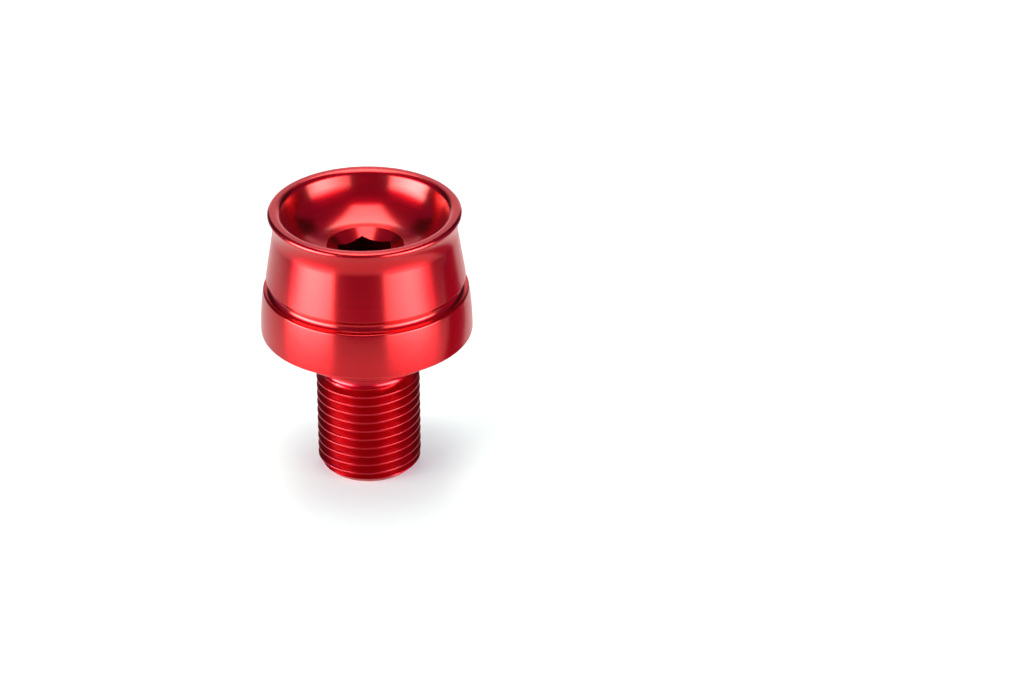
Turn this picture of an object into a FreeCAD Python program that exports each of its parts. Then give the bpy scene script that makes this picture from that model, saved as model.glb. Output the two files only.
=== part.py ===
import FreeCAD, Part
import math
import os

# A bar end weight for a motorcycle handlebar: one turned light-alloy piece.
# Sizes are in millimetres and angles in degrees. The axis of the turning is Z. Z = 0 is the flat
# underside of the head. The head rises from it, and the spigot and the stud hang below it.

# Lower band of the head. Its side starts upright and bows inwards up to the groove.
band_foot_radius = 16.13
band_top_radius = 15.43
band_foot_round = 0.3

# Groove between the band and the cone, turned with a round-nosed tool
groove_height = 8.07
groove_nose_radius = 0.93
groove_depth = 0.98

# Cone above the groove, which flares out to the lip. The flare's sizes are those of its sharp
# corners, and its height is measured down from the top of the head.
head_height = 20.1
cone_foot_radius = 15.3
flare_height = 2.28
flare_width = 1.195
flare_round = 5.0
lip_radius = 14.93
lip_width = 2.08
lip_outer_round = 0.5
lip_inner_round = 1.0

# Dish in the face, with a countersunk hexagon socket at its centre
dish_depth = 6.02
dish_wall_slope = 22.0
dish_round = 6.65
hub_radius = 5.84
countersink_slope = 54.0
socket_sides = 6
socket_across_flats = 8.0
socket_depth = 7.0
socket_turn = 8.7
drill_point_angle = 118.0

# Spigot that centres the weight in the end of the bar
spigot_radius = 12.0
spigot_height = 2.9
spigot_chamfer = 0.2

# Stud of the outside diameter of a metric fine thread, with a relief and a chamfered end
stud_length = 23.65
stud_diameter = 15.9
relief_width = 2.95
relief_depth = 1.1
relief_end_slope = 45.0
relief_round = 0.8
end_chamfer = 1.25

# Rounds are turned in short straights, which stand off the true arc by no more than this
round_tolerance = 0.035

# Two points of the outline that are closer together than this become one
closest_points = 0.06

axis = FreeCAD.Vector(0, 0, 1)


def spread(angle):
    """Sideways distance for each millimetre of height, for an angle from the vertical."""
    return math.tan(math.radians(angle))


# The band's bow is one arc from the top of the foot's round to the groove. Its upright foot and
# the slope at its top would meet at the corner height.
band_rise = groove_height - band_foot_round
band_narrowing = band_foot_radius - band_top_radius
band_chord_squared = band_rise**2 + band_narrowing**2
band_corner_height = band_foot_round + band_chord_squared / (2 * band_rise)
band_bow_radius = band_chord_squared / (2 * abs(band_narrowing))
groove_floor_radius = band_top_radius - groove_depth

# Corners of the dish's wall with the lip and with its floor, and the point of the countersink
mouth_radius = lip_radius - lip_width
hub_height = head_height - dish_depth
dish_corner_radius = mouth_radius - dish_depth * spread(dish_wall_slope)
countersink_point = hub_height - hub_radius / spread(countersink_slope)

# The relief lies under the spigot and runs out to the stud's full radius
stud_radius = stud_diameter / 2
relief_radius = stud_radius - relief_depth
relief_end = spigot_height + relief_width
relief_foot = relief_end + relief_depth * spread(relief_end_slope)


def at(radius, height):
    """A point of the outline, which lies in the XZ plane."""
    return FreeCAD.Vector(radius, 0, height)


def corner(radius, height, size=0):
    """A corner of the outline and the size of its round."""
    return at(radius, height), size


def stud_corners():
    """Up from the free end of the stud to the underside of the head."""
    return [
        corner(0, -stud_length),
        corner(stud_radius - end_chamfer, -stud_length),
        corner(stud_radius, -stud_length + end_chamfer),
        corner(stud_radius, -relief_foot),
        corner(relief_radius, -relief_end),
        corner(relief_radius, -spigot_height, relief_round),
        corner(spigot_radius - spigot_chamfer, -spigot_height),
        corner(spigot_radius, -spigot_height + spigot_chamfer),
        corner(spigot_radius, 0),
    ]


def side_corners():
    """The bowed band, the step to the cone, the cone, the flare and the lip."""
    return [
        corner(band_foot_radius, 0, band_foot_round),
        corner(band_foot_radius, band_corner_height, band_bow_radius),
        corner(band_top_radius, groove_height),
        corner(cone_foot_radius, groove_height),
        corner(lip_radius - flare_width, head_height - flare_height, flare_round),
        corner(lip_radius, head_height, lip_outer_round),
    ]


def face_corners():
    """The dish, from its mouth to the hub, and the countersink down to the axis."""
    return [
        corner(mouth_radius, head_height, lip_inner_round),
        corner(dish_corner_radius, hub_height, dish_round),
        corner(hub_radius, hub_height),
        corner(0, countersink_point),
    ]


def arc_steps(radius, turn):
    """How many straights follow an arc of this radius and turn, in radians."""
    return math.ceil(turn / (2 * math.acos(1 - round_tolerance / radius)))


def rounded(corners):
    """The points of an outline with an arc in each corner that has a round.

    Rounds that are too large for the straight between them shrink until they fit on it.
    """
    points = [point for point, size in corners]
    sides = [after - before for before, after in zip(points, points[1:])]
    turns = [before.getAngle(after) for before, after in zip(sides, sides[1:])]
    sizes = [size for point, size in corners[1:-1]]
    reaches = [size * math.tan(turn / 2) for size, turn in zip(sizes, turns)]
    needs = [before + after for before, after in zip([0] + reaches, reaches + [0])]
    shares = [side.Length / max(side.Length, need) for side, need in zip(sides, needs)]
    outline = [points[0]]
    for index, (point, size, turn) in enumerate(zip(points[1:], sizes, turns)):
        if size == 0:
            outline.append(point)
            continue
        share = min(shares[index], shares[index + 1])
        inwards = FreeCAD.Vector(sides[index]).normalize()
        onwards = FreeCAD.Vector(sides[index + 1]).normalize()
        bisector = (onwards - inwards).normalize()
        centre = point + bisector * (size * share / math.cos(turn / 2))
        first = point - inwards * (reaches[index] * share) - centre
        steps = arc_steps(size * share, turn)
        step_turn = FreeCAD.Rotation(inwards.cross(onwards), math.degrees(turn) / steps)
        for step in range(steps + 1):
            outline.append(centre + first)
            first = step_turn.multVec(first)
    outline.append(points[-1])
    pairs = zip(outline, outline[1:] + outline[:1])
    return [point for point, after in pairs if point.distanceToPoint(after) > closest_points]


def turned(outline):
    """A closed outline, turned once round the axis."""
    return Part.Face(Part.makePolygon(outline + outline[:1])).revolve(at(0, 0), axis, 360)


def groove_tool():
    """The ring that a round-nosed tool cuts out of the side of the head."""
    sides = arc_steps(groove_nose_radius, 2 * math.pi)
    centre = at(groove_floor_radius + groove_nose_radius, groove_height)
    outline = []
    for side in range(sides):
        turn = 2 * math.pi * side / sides
        outline.append(centre + at(math.cos(turn), math.sin(turn)) * groove_nose_radius)
    return turned(outline)


def socket():
    """The hexagon socket, on the drilled hole that it was broached in."""
    drill_radius = socket_across_flats / 2
    floor_height = hub_height - socket_depth
    side_turn = 360 / socket_sides
    corner_radius = drill_radius / math.cos(math.radians(side_turn / 2))
    outline = []
    for side in range(socket_sides + 1):
        turn = FreeCAD.Rotation(axis, side_turn * (side + 1 / 2) + socket_turn)
        outline.append(turn.multVec(at(corner_radius, floor_height)))
    hexagon = Part.Face(Part.makePolygon(outline)).extrude(axis * socket_depth)
    point_height = drill_radius / spread(drill_point_angle / 2)
    drill_point = Part.makeCone(0, drill_radius, point_height)
    drill_point.translate(at(0, floor_height - point_height))
    return hexagon.fuse(drill_point)


def weight_body():
    """The whole weight: the turned blank, with its groove cut and its socket broached."""
    blank = turned(rounded(stud_corners() + side_corners() + face_corners()))
    return blank.cut(groove_tool()).cut(socket())


os.makedirs("parts", exist_ok=True)
weight_body().exportStep("parts/weight_body.step")
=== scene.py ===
import math

import bmesh
import bpy
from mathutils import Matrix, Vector


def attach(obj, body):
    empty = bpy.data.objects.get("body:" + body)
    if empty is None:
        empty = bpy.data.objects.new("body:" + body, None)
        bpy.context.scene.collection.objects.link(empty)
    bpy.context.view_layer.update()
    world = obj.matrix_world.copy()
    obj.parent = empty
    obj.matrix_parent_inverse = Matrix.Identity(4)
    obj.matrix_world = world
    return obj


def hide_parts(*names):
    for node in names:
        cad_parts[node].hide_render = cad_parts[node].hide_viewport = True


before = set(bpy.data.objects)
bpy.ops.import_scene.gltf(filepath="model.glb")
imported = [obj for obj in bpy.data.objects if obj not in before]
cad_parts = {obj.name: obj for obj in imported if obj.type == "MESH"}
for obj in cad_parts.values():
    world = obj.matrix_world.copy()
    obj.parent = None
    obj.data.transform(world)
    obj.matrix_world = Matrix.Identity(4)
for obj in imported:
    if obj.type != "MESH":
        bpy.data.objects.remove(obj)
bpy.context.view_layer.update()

# A red anodised bar end weight, standing on the end of its threaded stud on a white table.
# The frame is that of the solids: Z is the axis of the turning, and Z = 0 is the head's underside.
# The weight's sizes are in millimetres, and its outlines are (radius, height) points.
MM = 0.001

# Head, from its underside upwards
SPIGOT_RADIUS = 12.0
SPIGOT_HEIGHT = 2.9
SPIGOT_CHAMFER = 0.2
BAND_FOOT_RADIUS = 16.13
BAND_FOOT_ROUND = 0.3
BAND_BOW_RADIUS = 43.47
BAND_BOW_STEPS = 10
BAND_TOP_HEIGHT = 7.16
BAND_EDGE_ROUND = 0.3
GROOVE_CENTRE = (15.38, 8.07)
GROOVE_RADIUS = 0.93
CONE_EDGE_ROUND = 0.12
CONE_FOOT = (15.155, 8.972)
HEAD_HEIGHT = 20.1
LIP_RADIUS = 14.93
LIP_WIDTH = 2.08
LIP_OUTER_ROUND = 0.5
LIP_INNER_ROUND = 1.0
FLARE_WIDTH = 1.195
FLARE_HEIGHT = 2.28
FLARE_ROUND = 5.0
FLARE_FOOT = (LIP_RADIUS - FLARE_WIDTH, HEAD_HEIGHT - FLARE_HEIGHT)

# Dish in the face, with its hub and the countersink of the socket
MOUTH_RADIUS = LIP_RADIUS - LIP_WIDTH
DISH_DEPTH = 6.02
DISH_CORNER_RADIUS = 10.418
DISH_ROUND = 6.65
HUB_RADIUS = 5.84
HUB_HEIGHT = HEAD_HEIGHT - DISH_DEPTH
COUNTERSINK_SLOPE = math.radians(36)

# Hexagon socket, broached into a drilled hole
SOCKET_SIDES = 6
SOCKET_HALF_WIDTH = 4.0
SOCKET_TURN = math.radians(8.7)
SOCKET_FLOOR = 7.12
DRILL_RADIUS = 3.9
DRILL_POINT = 4.72
DRILL_TIP_SHARE = 1 / 8

# Stud: its thread is a 16 mm metric fine one, right-handed
STUD_RADIUS = 7.95
STUD_END = -23.65
STUD_CHAMFER = 1.25
RELIEF_RADIUS = 6.85
RELIEF_ROUND = 0.8
RELIEF_JOIN = -5.0
RUN_OUT_SLOPE = math.radians(45)
RUN_OUT_ROUND = 0.8
THREAD_TOP = -7.75
THREAD_PITCH = 1.5
THREAD_DEPTH = 1.03
THREAD_CREST = THREAD_PITCH / 7
THREAD_ROOT = THREAD_PITCH / 12
THREAD_PHASE = -0.13
CREST_ROUND = 0.09
CREST_STEPS = 3
FLANK_STEPS = 3

# Fineness of the mesh: columns round the axis, steps of arcs, and distances that keep or join points
COLUMNS = 240
ARC_STEP = math.radians(6)
GROOVE_STEP = 2 * ARC_STEP
GUARD = 0.04
WELD_DISTANCE = 0.001
SHARP_ANGLE = math.radians(25)

# Finishes by their places in the weight's list of materials, where the turned one comes first
BROACHED = 1
# The threaded one also covers the neck under the head, where its darker red is painted shade
SHADED_THREADED = 2

# Turned finish: its limits of colour and roughness, the stretch of its gloss, its coat and its marks
TURNED_COLOURS = ((0.57, 0.001, 0.007, 1), (0.69, 0.002, 0.013, 1))
TURNED_ROUGHNESS = (0.235, 0.265)
TURNED_STRETCH = 0.75
TURNED_STRETCH_TURN = 0.25
TURNED_COAT = 1.0
TURNED_COAT_IOR = 1.5
TURNED_COAT_ROUGHNESS = 0.18
RING_SCALE = 5500
RING_DETAIL = 3
RING_CONTRAST = (0.25, 0.75)

# Threaded finish, which also has a coat, and marks without a direction; its red is darker than the
# turned one as painted shade
THREADED_SHADED_COLOURS = ((0.46, 0.001, 0.014, 1), (0.54, 0.002, 0.024, 1))
THREADED_ROUGHNESS = (0.30, 0.36)
THREADED_COAT = 0.8
THREADED_COAT_ROUGHNESS = 0.15
THREADED_SCALE = 1500
THREADED_DETAIL = 3

# Broached finish, with marks that are drawn out along the axis
BROACHED_COLOURS = ((0.10, 0.001, 0.002, 1), (0.22, 0.002, 0.004, 1))
BROACHED_ROUGHNESS = 0.42
STROKE_SCALE = 2500
STROKE_DETAIL = 2
STROKE_STRETCH = (1, 1, 0.05)

# Table: its reach in metres, and the gap in millimetres that keeps it clear of the stud's end
TABLE_SPAN_X = (-0.13, 0.125)
TABLE_SPAN_Y = (-0.14, 0.32)
TABLE_GAP = 0.01

# Colours of the table for its light on the weight, for the weight's gloss and for the camera
TABLE_COLOUR = (0.62, 0.62, 0.62, 1)
TABLE_MIRRORED = (0.60, 0.42, 0.46, 1)
TABLE_SEEN = (0.91, 0.95, 1.0, 1)
TABLE_GLOSS = 0.5
TABLE_ROUGHNESS = 0.25

# Weak glow of the table where the camera or the weight's gloss sees it, and its tint for the camera
TABLE_GLOW = 0.218
TABLE_VEIL = (0.46, 0.73, 1.0, 1)

# Places of the panels in metres and degrees: azimuth from the camera's side towards +X, and elevation
PANEL_DISTANCE = 0.7
LEFT_PLACE = (-67.8, 5)
RIGHT_PLACE = (59, 5)
SOFTBOX_YAW = 22
BACK_PLACE = (180, 12)
FLAG_PLACES = {"left_flag": (-139, 24), "right_flag": (139, 24)}
OVERHEAD_CENTRE = (-0.02, 0.27, 0.7)

# Widths and heights of the panels in metres
LEFT_SIZE = (0.77, 0.54)
RIGHT_SIZE = (0.86, 0.51)
BACK_SIZE = (0.7, 0.5)
FLAG_SIZE = (0.36, 0.5)
OVERHEAD_SIZE = (0.35, 0.88)

# Levels of the panels: at the edge, in the middle, and how far the middle spreads in metres
LEFT_LEVEL = (2.0, 17.5, (0.30, 0.13))
RIGHT_LEVEL = (1.0, 14.5, (0.24, 0.12))
OVERHEAD_LEVEL = (2.2, 4.6, (0.30, 0.50))
BACK_LEVEL = (0.9, 0.9, (1.0, 1.0))
FLAG_LEVEL = (0.03, 0.03, (1.0, 1.0))
SOFTBOX_COLOUR = (1.0, 1.0, 0.84, 1)
BACK_COLOUR = (1.0, 0.75, 0.78, 1)

# Room: grey where it lights the weight, darker and red in the weight's gloss, white in the picture
ROOM_COLOUR = (0.27, 0.27, 0.27, 1)
ROOM_MIRRORED = (0.27, 0.04, 0.15, 1)
WHITE = (1, 1, 1, 1)

# Red piece beside the weight, which only its gloss sees, as a card of these four corners
NEIGHBOUR_CORNERS = ((24, -16.5, STUD_END), (62, 44, STUD_END), (62, 44, 9), (27, -4, 9))
NEIGHBOUR_COLOUR = (0.45, 0.01, 0.07, 1)

# Camera: its place in metres, its tilt below the level in degrees, and its lens in millimetres
CAMERA_PLACE = (0.02202, -0.49221, 0.27690)
CAMERA_TILT = 29.597
CAMERA_LENS = 130.35
SENSOR_WIDTH = 36


def rounded(corners):
    """Outline points from (radius, height, round) corners, each round as an arc of small steps.

    A guard point close to each end of an arc keeps the straight beside it evenly shaded.
    """
    points = [Vector(corner[:2]) for corner in corners]
    outline = [points[0]]
    for before, point, after, corner in zip(points, points[1:], points[2:], corners[1:]):
        size = corner[2]
        if size == 0:
            outline.append(point)
            continue
        inwards = (point - before).normalized()
        onwards = (after - point).normalized()
        turn = inwards.angle(onwards)
        reach = size * math.tan(turn / 2)
        centre = point + (onwards - inwards).normalized() * (size / math.cos(turn / 2))
        steps = max(2, math.ceil(turn / ARC_STEP))
        first = point - inwards * reach - centre
        last = point + onwards * reach - centre
        outline.append(centre + first - inwards * GUARD)
        for step in range(steps + 1):
            share = step / steps
            across = first * math.sin((1 - share) * turn) + last * math.sin(share * turn)
            outline.append(centre + across / math.sin(turn))
        outline.append(centre + last + onwards * GUARD)
    outline.append(points[-1])
    return outline


def band_points():
    """The band's bow: one arc, upright at the top of the foot's round, up to the groove."""
    rise = BAND_TOP_HEIGHT - BAND_FOOT_ROUND
    turn = math.asin(rise / BAND_BOW_RADIUS)
    points = []
    for step in range(1, BAND_BOW_STEPS + 1):
        angle = turn * step / BAND_BOW_STEPS
        radius = BAND_FOOT_RADIUS - BAND_BOW_RADIUS * (1 - math.cos(angle))
        points.append((radius, BAND_FOOT_ROUND + BAND_BOW_RADIUS * math.sin(angle), 0))
    return points


def groove_points(band_top):
    """The groove's arc, from the band's edge round its floor to the cone's edge.

    Its first step is left to the round of the band's edge.
    """
    centre = Vector(GROOVE_CENTRE)
    start = Vector(band_top) - centre
    end = Vector(CONE_FOOT) - centre
    start_angle = math.atan2(start.y, start.x)
    end_angle = math.atan2(end.y, end.x) - 2 * math.pi
    steps = math.ceil((start_angle - end_angle) / GROOVE_STEP)
    points = []
    for step in range(2, steps):
        angle = start_angle + (end_angle - start_angle) * step / steps
        on_arc = centre + Vector((math.cos(angle), math.sin(angle))) * GROOVE_RADIUS
        points.append((on_arc.x, on_arc.y, 0))
    return points


def head_outline():
    """From the relief, round the whole head, down to the inner edge of the dish's hub."""
    corners = [
        (RELIEF_RADIUS, RELIEF_JOIN, 0),
        (RELIEF_RADIUS, -SPIGOT_HEIGHT, RELIEF_ROUND),
        (SPIGOT_RADIUS - SPIGOT_CHAMFER, -SPIGOT_HEIGHT, 0),
        (SPIGOT_RADIUS, -SPIGOT_HEIGHT + SPIGOT_CHAMFER, 0),
        (SPIGOT_RADIUS, 0, 0),
        (BAND_FOOT_RADIUS, 0, BAND_FOOT_ROUND),
    ]
    band = band_points()
    band_top = band[-1][:2]
    corners += band[:-1]
    corners.append(band_top + (BAND_EDGE_ROUND,))
    corners += groove_points(band_top)
    corners += [
        CONE_FOOT + (CONE_EDGE_ROUND,),
        FLARE_FOOT + (FLARE_ROUND,),
        (LIP_RADIUS, HEAD_HEIGHT, LIP_OUTER_ROUND),
        (MOUTH_RADIUS, HEAD_HEIGHT, LIP_INNER_ROUND),
        (DISH_CORNER_RADIUS, HUB_HEIGHT, DISH_ROUND),
        (HUB_RADIUS, HUB_HEIGHT, 0),
    ]
    return rounded(corners)


def hexagon_radius(angle):
    """Distance from the axis to the socket's wall at this angle."""
    side = 2 * math.pi / SOCKET_SIDES
    off_flat = (angle - SOCKET_TURN + side / 2) % side - side / 2
    return SOCKET_HALF_WIDTH / math.cos(off_flat)


def socket_outline(angle):
    """Down the countersink, the socket's wall, its floor and the drill point, at one angle."""
    wall = hexagon_radius(angle)
    drop = (HUB_RADIUS - wall) * math.tan(COUNTERSINK_SLOPE)
    tip_rise = (SOCKET_FLOOR - DRILL_POINT) * DRILL_TIP_SHARE
    return [
        Vector(((HUB_RADIUS + wall) / 2, HUB_HEIGHT - drop / 2)),
        Vector((wall, HUB_HEIGHT - drop)),
        Vector((wall, SOCKET_FLOOR)),
        Vector((DRILL_RADIUS, SOCKET_FLOOR)),
        Vector((DRILL_RADIUS * DRILL_TIP_SHARE, DRILL_POINT + tip_rise)),
    ]


def thread_section():
    """One turn of the thread as (share of the pitch, depth below the crest) points."""
    crest = THREAD_CREST / THREAD_PITCH / 2
    root = THREAD_ROOT / THREAD_PITCH / 2
    flank_width = 0.5 - root - crest
    flank_turn = math.atan2(THREAD_DEPTH, flank_width * THREAD_PITCH)
    centre = crest - CREST_ROUND * math.tan(flank_turn / 2) / THREAD_PITCH
    falling = []
    for step in range(CREST_STEPS + 1):
        turn = flank_turn * step / CREST_STEPS
        share = centre + CREST_ROUND * math.sin(turn) / THREAD_PITCH
        falling.append((share, CREST_ROUND * (1 - math.cos(turn))))
    start_depth = falling[-1][1] / THREAD_DEPTH
    for step in range(1, FLANK_STEPS + 1):
        fall = start_depth + (1 - start_depth) * step / FLANK_STEPS
        falling.append((crest + flank_width * fall, THREAD_DEPTH * fall))
    rising = [(1 - share, depth) for share, depth in reversed(falling)]
    return falling + rising


def stud_limit(height):
    """The stud's radius before its thread is cut: chamfer, full radius, slope and relief."""
    chamfer = STUD_RADIUS - STUD_CHAMFER + (height - STUD_END)
    slope = STUD_RADIUS - (height - THREAD_TOP) / math.tan(RUN_OUT_SLOPE)
    slope_end = THREAD_TOP + (STUD_RADIUS - RELIEF_RADIUS) * math.tan(RUN_OUT_SLOPE)
    round_top = slope_end + RUN_OUT_ROUND * math.tan(RUN_OUT_SLOPE / 2)
    drop = min(max(round_top - height, 0), RUN_OUT_ROUND * math.sin(RUN_OUT_SLOPE))
    fillet = RELIEF_RADIUS + RUN_OUT_ROUND - math.sqrt(RUN_OUT_ROUND ** 2 - drop ** 2)
    return min(STUD_RADIUS, chamfer, max(slope, fillet))


def column_angle(column):
    """Columns start at a corner of the socket, so that all its corners lie on columns."""
    corner = SOCKET_TURN + math.pi / SOCKET_SIDES
    return corner + 2 * math.pi * column / COLUMNS


def point_at(radius, height, angle):
    """A point of the weight in metres, from its radius and height in millimetres."""
    return Vector((radius * math.cos(angle), radius * math.sin(angle), height)) * MM


def add_head(mesh):
    """The head, in columns of vertices that follow its outline, with the tip of the drill point.

    The relief under the head takes the thread's darker material, as painted shade under the head. The
    broached finish starts at the socket's wall, below the two steps of the countersink.
    """
    outline = head_outline()
    columns = []
    for column in range(COLUMNS):
        angle = column_angle(column)
        points = outline + socket_outline(angle)
        columns.append([mesh.verts.new(point_at(point.x, point.y, angle)) for point in points])
    tip = mesh.verts.new(point_at(0, DRILL_POINT, 0))
    socket_start = len(outline) + 1
    shaded_neck_end = [point.x > RELIEF_RADIUS + RELIEF_ROUND for point in outline].index(True)
    for verts, next_verts in zip(columns, columns[1:] + columns[:1]):
        for index, corners in enumerate(zip(verts, next_verts, next_verts[1:], verts[1:])):
            face = mesh.faces.new(corners)
            if index >= socket_start:
                face.material_index = BROACHED
            # Faces of the neck take the darker threaded material as painted shade under the head
            elif index < shaded_neck_end:
                face.material_index = SHADED_THREADED
        mesh.faces.new((verts[-1], next_verts[-1], tip)).material_index = BROACHED


def add_stud(mesh):
    """The stud, in rows that climb with its thread by one pitch for each turn.

    Rows past either end of the stud are held at that end, where they merge into one. The last
    column repeats the first one's place, one pitch further up the thread.
    """
    section = thread_section()
    turns = math.ceil((RELIEF_JOIN - STUD_END) / THREAD_PITCH) + 2
    start = STUD_END - 2 * THREAD_PITCH
    start += (THREAD_PHASE - start) % THREAD_PITCH
    columns = []
    for column in range(COLUMNS + 1):
        angle = column_angle(column)
        climb = THREAD_PITCH * angle / (2 * math.pi)
        verts = []
        for turn in range(turns):
            for share, depth in section:
                height = start + climb + (turn + share - 1) * THREAD_PITCH
                height = min(max(height, STUD_END), RELIEF_JOIN)
                radius = min(STUD_RADIUS - depth, stud_limit(height))
                verts.append(mesh.verts.new(point_at(radius, height, angle)))
        columns.append(verts)
    for verts, next_verts in zip(columns, columns[1:]):
        for corners in zip(verts, next_verts, next_verts[1:], verts[1:]):
            mesh.faces.new(corners).material_index = SHADED_THREADED


def add_stud_end(mesh):
    """The flat end face of the stud, as a fan round its centre."""
    radius = stud_limit(STUD_END)
    centre = mesh.verts.new(point_at(0, STUD_END, 0))
    angles = [column_angle(column) for column in range(COLUMNS)]
    rim = [mesh.verts.new(point_at(radius, STUD_END, angle)) for angle in angles]
    for vert, next_vert in zip(rim, rim[1:] + rim[:1]):
        mesh.faces.new((next_vert, vert, centre)).material_index = SHADED_THREADED


def weight_mesh():
    """Head and stud as one closed mesh."""
    mesh = bmesh.new()
    add_head(mesh)
    add_stud(mesh)
    add_stud_end(mesh)
    bmesh.ops.remove_doubles(mesh, verts=mesh.verts, dist=WELD_DISTANCE * MM)
    bmesh.ops.dissolve_degenerate(mesh, edges=mesh.edges, dist=WELD_DISTANCE * MM)
    bmesh.ops.recalc_face_normals(mesh, faces=mesh.faces)
    data = bpy.data.meshes.new("bar_end_weight")
    mesh.to_mesh(data)
    mesh.free()
    data.polygons.foreach_set("use_smooth", [True] * len(data.polygons))
    data.set_sharp_from_angle(angle=SHARP_ANGLE)
    return data


def new_material(name):
    """A material with a Principled shader, and its node tree."""
    material = bpy.data.materials.new(name)
    material.use_nodes = True
    return material, material.node_tree


def feed(tree, value, socket):
    """Sets a socket to a plain value, or links another node's output to it."""
    if isinstance(value, bpy.types.NodeSocket):
        tree.links.new(value, socket)
    else:
        socket.default_value = value


def calculate(tree, operation, *values):
    """The result of a Math node."""
    node = tree.nodes.new("ShaderNodeMath")
    node.operation = operation
    for value, socket in zip(values, node.inputs):
        feed(tree, value, socket)
    return node.outputs["Value"]


def vector_node(tree, operation, *values):
    """A Vector Math node."""
    node = tree.nodes.new("ShaderNodeVectorMath")
    node.operation = operation
    for value, socket in zip(values, node.inputs):
        feed(tree, value, socket)
    return node


def mix_colours(tree, factor, first, second):
    """A colour between two, by a factor from another node."""
    node = tree.nodes.new("ShaderNodeMix")
    node.data_type = "RGBA"
    feed(tree, factor, node.inputs["Factor"])
    feed(tree, first, node.inputs["A"])
    feed(tree, second, node.inputs["B"])
    return node.outputs["Result"]


def map_range(tree, value, source, target):
    """A value's place between the limits of its source, brought between those of its target."""
    node = tree.nodes.new("ShaderNodeMapRange")
    names = ("From Min", "From Max", "To Min", "To Max")
    for name, limit in zip(names, source + target):
        node.inputs[name].default_value = limit
    feed(tree, value, node.inputs["Value"])
    return node.outputs["Result"]


def noise(tree, position, scale, detail):
    """Uneven marks of a finish."""
    node = tree.nodes.new("ShaderNodeTexNoise")
    node.inputs["Scale"].default_value = scale
    node.inputs["Detail"].default_value = detail
    feed(tree, position, node.inputs["Vector"])
    return node.outputs["Fac"]


def emission(tree, colour, strength):
    """Plain light of one colour."""
    node = tree.nodes.new("ShaderNodeEmission")
    feed(tree, colour, node.inputs["Color"])
    feed(tree, strength, node.inputs["Strength"])
    return node.outputs["Emission"]


def object_position(tree):
    """The position on the object, from its origin."""
    return tree.nodes.new("ShaderNodeTexCoord").outputs["Object"]


def ring_position(tree):
    """Radius and height alone, so that every mark is a ring round the axis."""
    position = object_position(tree)
    flat = vector_node(tree, "MULTIPLY", position, (1, 1, 0))
    radius = vector_node(tree, "LENGTH", flat.outputs["Vector"])
    parts = tree.nodes.new("ShaderNodeSeparateXYZ")
    ring = tree.nodes.new("ShaderNodeCombineXYZ")
    feed(tree, position, parts.inputs["Vector"])
    feed(tree, radius.outputs["Value"], ring.inputs["X"])
    feed(tree, parts.outputs["Z"], ring.inputs["Z"])
    return ring.outputs["Vector"]


def anodised_alloy():
    """Red anodising over a turned surface: fine marks run round the axis and stretch its gloss."""
    material, tree = new_material("anodised_alloy")
    shader = tree.nodes["Principled BSDF"]
    shader.inputs["Metallic"].default_value = 1.0
    shader.inputs["Anisotropic"].default_value = TURNED_STRETCH
    shader.inputs["Anisotropic Rotation"].default_value = TURNED_STRETCH_TURN
    shader.inputs["Coat Weight"].default_value = TURNED_COAT
    shader.inputs["Coat IOR"].default_value = TURNED_COAT_IOR
    shader.inputs["Coat Roughness"].default_value = TURNED_COAT_ROUGHNESS
    tangent = tree.nodes.new("ShaderNodeTangent")
    tangent.direction_type = "RADIAL"
    tangent.axis = "Z"
    feed(tree, tangent.outputs["Tangent"], shader.inputs["Tangent"])
    marks = noise(tree, ring_position(tree), RING_SCALE, RING_DETAIL)
    clear = map_range(tree, marks, RING_CONTRAST, (0, 1))
    feed(tree, map_range(tree, clear, (0, 1), TURNED_ROUGHNESS), shader.inputs["Roughness"])
    feed(tree, mix_colours(tree, clear, *TURNED_COLOURS), shader.inputs["Base Color"])
    return material


def shaded_threaded_alloy():
    """The cut thread: the same red, less glossy than the turned faces, and a little darker as painted
    shade.
    """
    material, tree = new_material("shaded_threaded_alloy")
    shader = tree.nodes["Principled BSDF"]
    shader.inputs["Metallic"].default_value = 1.0
    shader.inputs["Coat Weight"].default_value = THREADED_COAT
    shader.inputs["Coat Roughness"].default_value = THREADED_COAT_ROUGHNESS
    marks = noise(tree, object_position(tree), THREADED_SCALE, THREADED_DETAIL)
    feed(tree, map_range(tree, marks, (0, 1), THREADED_ROUGHNESS), shader.inputs["Roughness"])
    feed(tree, mix_colours(tree, marks, *THREADED_SHADED_COLOURS), shader.inputs["Base Color"])
    return material


def broached_alloy():
    """Inside of the socket: the same red, rough from the broach and without a clear coat."""
    material, tree = new_material("broached_alloy")
    shader = tree.nodes["Principled BSDF"]
    shader.inputs["Metallic"].default_value = 1.0
    shader.inputs["Roughness"].default_value = BROACHED_ROUGHNESS
    drawn_out = vector_node(tree, "MULTIPLY", object_position(tree), STROKE_STRETCH)
    strokes = noise(tree, drawn_out.outputs["Vector"], STROKE_SCALE, STROKE_DETAIL)
    feed(tree, mix_colours(tree, strokes, *BROACHED_COLOURS), shader.inputs["Base Color"])
    return material


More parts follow.
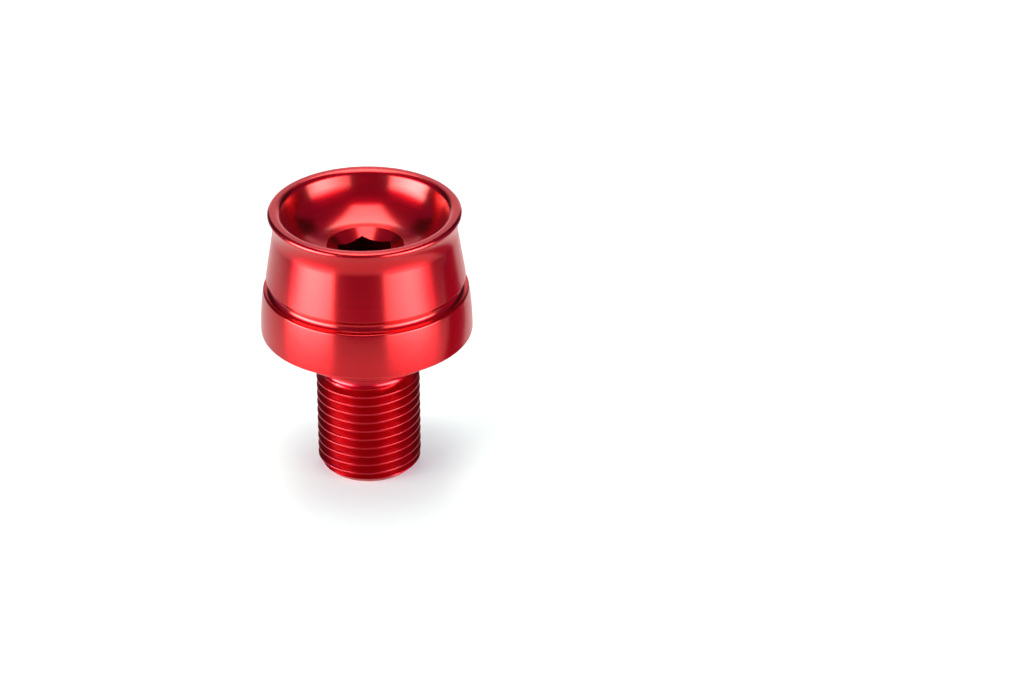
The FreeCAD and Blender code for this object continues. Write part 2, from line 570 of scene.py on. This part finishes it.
def table_material():
    """White table, with a weak glow for the camera and in what the weight mirrors.

    Its own gloss shows only in what the weight mirrors, so that the table is matt in the picture.
    """
    material, tree = new_material("white_table")
    shader = tree.nodes["Principled BSDF"]
    shader.inputs["Roughness"].default_value = TABLE_ROUGHNESS
    rays = tree.nodes.new("ShaderNodeLightPath")
    camera_ray = rays.outputs["Is Camera Ray"]
    glossy_ray = rays.outputs["Is Glossy Ray"]
    gloss = calculate(tree, "MULTIPLY", glossy_ray, TABLE_GLOSS)
    feed(tree, gloss, shader.inputs["Specular IOR Level"])
    unseen = mix_colours(tree, glossy_ray, TABLE_COLOUR, TABLE_MIRRORED)
    feed(tree, mix_colours(tree, camera_ray, unseen, TABLE_SEEN), shader.inputs["Base Color"])
    glowing = calculate(tree, "MAXIMUM", camera_ray, glossy_ray)
    strength = calculate(tree, "MULTIPLY", glowing, TABLE_GLOW)
    tint = mix_colours(tree, camera_ray, TABLE_MIRRORED, TABLE_VEIL)
    both = tree.nodes.new("ShaderNodeAddShader")
    feed(tree, shader.outputs["BSDF"], both.inputs[0])
    feed(tree, emission(tree, tint, strength), both.inputs[1])
    feed(tree, both.outputs["Shader"], tree.nodes["Material Output"].inputs["Surface"])
    return material


def panel_material(name, level, tint):
    """Light that is strongest in the middle of a panel and falls to its edges in a bell curve."""
    edge, middle, spread = level
    material, tree = new_material(name)
    tree.nodes.remove(tree.nodes["Principled BSDF"])
    scale = (1 / spread[0], 1 / spread[1], 0)
    scaled = vector_node(tree, "MULTIPLY", object_position(tree), scale).outputs["Vector"]
    squared = vector_node(tree, "DOT_PRODUCT", scaled, scaled).outputs["Value"]
    bell = calculate(tree, "EXPONENT", calculate(tree, "MULTIPLY", squared, -1 / 2))
    strength = calculate(tree, "MULTIPLY_ADD", bell, middle - edge, edge)
    light = emission(tree, tint, strength)
    feed(tree, light, tree.nodes["Material Output"].inputs["Surface"])
    return material


def neighbour_material():
    """Even red light, about as much as the lit piece would send back."""
    material, tree = new_material("neighbour_card")
    tree.nodes.remove(tree.nodes["Principled BSDF"])
    light = emission(tree, NEIGHBOUR_COLOUR, 1.0)
    feed(tree, light, tree.nodes["Material Output"].inputs["Surface"])
    return material


def rectangle(span_x, span_y, height):
    """The corners of a level rectangle, in order round it."""
    left, right = span_x
    near, far = span_y
    return [(left, near, height), (right, near, height), (right, far, height), (left, far, height)]


def add_sheet(name, corners, material):
    """One flat face with a material."""
    data = bpy.data.meshes.new(name)
    data.from_pydata(corners, [], [(0, 1, 2, 3)])
    data.materials.append(material)
    sheet = bpy.data.objects.new(name, data)
    bpy.context.scene.collection.objects.link(sheet)
    return sheet


def add_table():
    """A small table: beyond its edges the weight mirrors the softboxes and the dark room."""
    height = (STUD_END - TABLE_GAP) * MM
    table = add_sheet("table", rectangle(TABLE_SPAN_X, TABLE_SPAN_Y, height), table_material())


def add_panel(name, size, level, tint):
    """A panel that the weight mirrors and the camera doesn't see, level at the origin at first."""
    width, height = size
    corners = rectangle((-width / 2, width / 2), (-height / 2, height / 2), 0)
    panel = add_sheet(name, corners, panel_material(name, level, tint))
    panel.visible_camera = False
    return panel


def face_weight(panel, place, yaw=0):
    """Stands a panel at its place, facing the weight but for a turn about its own upright axis."""
    azimuth, elevation = map(math.radians, place)
    flat = math.cos(elevation)
    towards = Vector((math.sin(azimuth) * flat, -math.cos(azimuth) * flat, math.sin(elevation)))
    panel.location = towards * PANEL_DISTANCE
    panel.rotation_euler = towards.to_track_quat("Z", "Y").to_euler()
    panel.rotation_euler.rotate_axis("Y", math.radians(yaw))


def add_panels():
    """Softboxes at both sides and overhead, and a weak card with two dark flags behind."""
    left = add_panel("left_softbox", LEFT_SIZE, LEFT_LEVEL, SOFTBOX_COLOUR)
    face_weight(left, LEFT_PLACE, SOFTBOX_YAW)
    right = add_panel("right_softbox", RIGHT_SIZE, RIGHT_LEVEL, SOFTBOX_COLOUR)
    face_weight(right, RIGHT_PLACE, -SOFTBOX_YAW)
    back = add_panel("back_card", BACK_SIZE, BACK_LEVEL, BACK_COLOUR)
    face_weight(back, BACK_PLACE)
    back.visible_diffuse = False
    for name, place in FLAG_PLACES.items():
        flag = add_panel(name, FLAG_SIZE, FLAG_LEVEL, BACK_COLOUR)
        face_weight(flag, place)
        flag.visible_diffuse = False
        flag.visible_shadow = False
    overhead = add_panel("overhead_softbox", OVERHEAD_SIZE, OVERHEAD_LEVEL, SOFTBOX_COLOUR)
    overhead.location = OVERHEAD_CENTRE


def add_neighbour():
    """What the weight mirrors of the red piece that lies to its right: seen in gloss only."""
    corners = [Vector(corner) * MM for corner in NEIGHBOUR_CORNERS]
    card = add_sheet("neighbour_card", corners, neighbour_material())
    card.visible_camera = False
    card.visible_diffuse = False
    card.visible_shadow = False


def add_room():
    """The world: a dark room for the weight, and white for the camera."""
    world = bpy.data.worlds.new("studio")
    bpy.context.scene.world = world
    world.use_nodes = True
    tree = world.node_tree
    rays = tree.nodes.new("ShaderNodeLightPath")
    room = mix_colours(tree, rays.outputs["Is Glossy Ray"], ROOM_COLOUR, ROOM_MIRRORED)
    shade = mix_colours(tree, rays.outputs["Is Camera Ray"], room, WHITE)
    feed(tree, shade, tree.nodes["Background"].inputs["Color"])


def add_camera():
    """The photograph's view: from in front and above, with a long lens."""
    camera = bpy.data.cameras.new("camera")
    camera.sensor_width = SENSOR_WIDTH
    camera.lens = CAMERA_LENS
    holder = bpy.data.objects.new("camera", camera)
    holder.location = CAMERA_PLACE
    holder.rotation_euler = (math.radians(90 - CAMERA_TILT), 0, 0)
    bpy.context.scene.collection.objects.link(holder)
    bpy.context.scene.camera = holder


def add_weight():
    """The weight's mesh in place of its solid, with its three finishes."""
    weight = bpy.data.objects.new("bar_end_weight", weight_mesh())
    bpy.context.scene.collection.objects.link(weight)
    for finish in (anodised_alloy(), broached_alloy(), shaded_threaded_alloy()):
        weight.data.materials.append(finish)
    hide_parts("weight_body")
    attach(weight, "root")


def main():
    """The weight, its studio and the camera."""
    add_weight()
    add_table()
    add_panels()
    add_neighbour()
    add_room()
    add_camera()
    bpy.context.scene.view_settings.view_transform = "Standard"


main()
